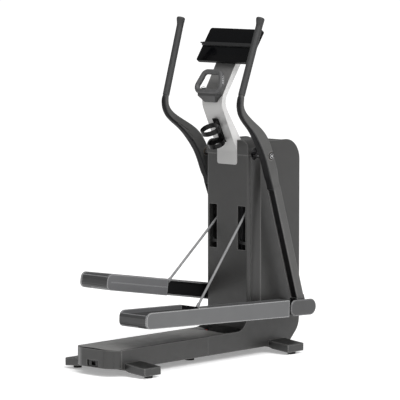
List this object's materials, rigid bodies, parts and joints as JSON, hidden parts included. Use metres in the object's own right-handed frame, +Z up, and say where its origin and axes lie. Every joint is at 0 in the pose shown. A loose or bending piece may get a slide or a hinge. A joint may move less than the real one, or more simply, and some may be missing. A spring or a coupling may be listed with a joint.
{
  "type": "elliptical trainer",
  "caption": "Free-standing elliptical trainer whose swinging arms carry long foot levers hung on cables from a tower, with console, grab loop and bottle holder.",
  "frame": {"origin": "on the floor under the middle of the machine's overall length and width", "axes": "+X towards the user's right, +Y from the pedals towards the tower, +Z up"},
  "size_m": [0.58, 1.5096, 1.831],
  "materials": {
    "body_cover": "satin charcoal moulding",
    "deck": "satin charcoal moulding",
    "foot_paint": "powder coat",
    "foot_rubber": "matt",
    "frame_steel": "powder coat",
    "inlet_plastic": "matt",
    "bright_steel": "ground",
    "cast_aluminium": "cast",
    "guide_plastic": "matt",
    "flywheel_iron": "turned",
    "pulley_steel": "turned",
    "belt_rubber": "matt",
    "mast_silver": "silver satin paint",
    "mast_cover": "satin",
    "console_case": "gloss",
    "console_glass": "black glass",
    "ledge_plastic": "satin",
    "loop_rubber": "matt",
    "loop_plastic": "satin",
    "switch_plastic": "satin",
    "polished_metal": "polished",
    "holder_plastic": "gloss",
    "arm_paint": "satin grey paint",
    "bronze_bush": "turned",
    "grip_rubber": "soft matt",
    "lever_steel": "powder coat",
    "lever_cover": "satin grey moulding",
    "pedal_plastic": "satin grey moulding",
    "pedal_rubber": "ribbed",
    "cable_braid": "braided sheath"
  },
  "bodies": {
    "frame": {"front_foot": "foot_paint", "rear_foot": "foot_paint", "levelling_feet": "foot_rubber", "base_frame": "frame_steel", "base_side_right": "body_cover", "base_side_left": "body_cover", "tower_side_right": "body_cover", "tower_side_left": "body_cover", "base_deck": "deck", "nose_cap": "body_cover", "power_inlet": "inlet_plastic", "tower_front_panel": "body_cover", "tower_rear_cover": "body_cover", "tower_top_cap": "body_cover", "tower_frame": "frame_steel", "pivot_shaft": "bright_steel", "base_underpan": "inlet_plastic", "cable_fairleads": "guide_plastic", "flywheel_axle": "bright_steel", "alternator": "cast_aluminium", "drive_belt": "belt_rubber", "mast": "mast_silver", "mast_front_cover": "mast_cover", "console_housing": "console_case", "console_screen": "console_glass", "device_ledge": "ledge_plastic", "loop_handle": "loop_rubber", "loop_bracket": "loop_plastic", "pulse_plates": "polished_metal", "bottle_holder": "holder_plastic"},
    "flywheel": {"flywheel": "flywheel_iron"},
    "alternator_pulley": {"alternator_pulley": "pulley_steel"},
    "cable_drum": {"cable_drum": "guide_plastic"},
    "loop_switch": {"loop_switch": "switch_plastic"},
    "right_arm": {"arm_right": "arm_paint", "arm_bush_right": "bronze_bush", "pivot_cap_right": "polished_metal", "grip_right": "grip_rubber", "grip_cap_right": "grip_rubber"},
    "right_knuckle": {"hinge_pin_right": "bright_steel"},
    "right_lever": {"lever_beam_right": "lever_steel", "lever_skin_right": "lever_cover", "hinge_cap_right": "lever_cover", "pedal_tray_right": "pedal_plastic", "pedal_mat_right": "pedal_rubber"},
    "right_anchor": {"cable_bush_right": "bronze_bush"},
    "right_cable": {"cable_right": "cable_braid"},
    "left_arm": {"arm_left": "arm_paint", "arm_bush_left": "bronze_bush", "pivot_cap_left": "polished_metal", "grip_left": "grip_rubber", "grip_cap_left": "grip_rubber"},
    "left_knuckle": {"hinge_pin_left": "bright_steel"},
    "left_lever": {"lever_beam_left": "lever_steel", "lever_skin_left": "lever_cover", "hinge_cap_left": "lever_cover", "pedal_tray_left": "pedal_plastic", "pedal_mat_left": "pedal_rubber"},
    "left_anchor": {"cable_bush_left": "bronze_bush"},
    "left_cable": {"cable_left": "cable_braid"}
  },
  "joints": [
    {"name": "right_stride", "type": "hinge", "parent": "frame", "child": "right_arm", "pos_m": [0, 0.34022, 1.085], "axis": [1, 0, 0], "range_deg": [-6.8, 11.2]},
    {"name": "right_knuckle_turn", "type": "hinge", "parent": "right_arm", "child": "right_knuckle", "pos_m": [0, 0.59488, 0.24683], "axis": [1, 0, 0], "range_deg": [-11.4, 7]},
    {"name": "right_step", "type": "hinge", "parent": "right_knuckle", "child": "right_lever", "pos_m": [0, 0.59488, 0.24683], "axis": [-1, 0, 0], "range_deg": [-2.3, 9]},
    {"name": "right_anchor_turn", "type": "hinge", "parent": "right_lever", "child": "right_anchor", "pos_m": [0, -0.12798, 0.28987], "axis": [1, 0, 0], "range_deg": [-5.23, 8.48]},
    {"name": "right_cable_turn", "type": "hinge", "parent": "right_anchor", "child": "right_cable", "pos_m": [0, -0.12798, 0.28987], "axis": [1, 0, 0], "range_deg": [-0.74, 2.31]},
    {"name": "left_stride", "type": "hinge", "parent": "frame", "child": "left_arm", "pos_m": [0, 0.34022, 1.085], "axis": [1, 0, 0], "range_deg": [-11.4, 7]},
    {"name": "left_knuckle_turn", "type": "hinge", "parent": "left_arm", "child": "left_knuckle", "pos_m": [0, 0.65843, 0.26884], "axis": [1, 0, 0], "range_deg": [-7, 11.4]},
    {"name": "left_step", "type": "hinge", "parent": "left_knuckle", "child": "left_lever", "pos_m": [0, 0.65843, 0.26884], "axis": [-1, 0, 0], "range_deg": [-9.2, 2.5]},
    {"name": "left_anchor_turn", "type": "hinge", "parent": "left_lever", "child": "left_anchor", "pos_m": [0, -0.05447, 0.39593], "axis": [1, 0, 0], "range_deg": [-8.01, 4.94]},
    {"name": "left_cable_turn", "type": "hinge", "parent": "left_anchor", "child": "left_cable", "pos_m": [0, -0.05447, 0.39593], "axis": [1, 0, 0], "range_deg": [-1.19, 0.45]},
    {"name": "flywheel_spin", "type": "hinge", "parent": "frame", "child": "flywheel", "pos_m": [0, 0.52822, 0.42], "axis": [1, 0, 0], "continuous": true},
    {"name": "alternator_spin", "type": "hinge", "parent": "frame", "child": "alternator_pulley", "pos_m": [0, 0.54022, 0.174], "axis": [1, 0, 0], "continuous": true},
    {"name": "drum_turn", "type": "hinge", "parent": "frame", "child": "cable_drum", "pos_m": [0, 0.54322, 0.9], "axis": [1, 0, 0], "range_deg": [-27.33, 104.05]},
    {"name": "switch_tilt", "type": "hinge", "parent": "frame", "child": "loop_switch", "pos_m": [-0.028, 0.12122, 1.4376], "axis": [0, 1, 0], "range_deg": [-5, 5], "stiffness_Nm_per_rad": 0.05}
  ],
  "couplings": [
    {"joint": "right_knuckle_turn", "follows": "right_stride", "ratio": -1},
    {"joint": "right_anchor_turn", "follows": "right_stride", "ratio": 0.7392},
    {"joint": "right_cable_turn", "follows": "right_step", "ratio": 0.234},
    {"joint": "left_stride", "follows": "right_stride", "ratio": -1},
    {"joint": "left_step", "follows": "right_step", "ratio": -1},
    {"joint": "left_knuckle_turn", "follows": "right_stride", "ratio": 1},
    {"joint": "left_anchor_turn", "follows": "right_stride", "ratio": -0.6973},
    {"joint": "left_cable_turn", "follows": "right_step", "ratio": -0.1094},
    {"joint": "alternator_spin", "follows": "flywheel_spin", "ratio": 3},
    {"joint": "drum_turn", "follows": "right_step", "ratio": 11.45}
  ]
}
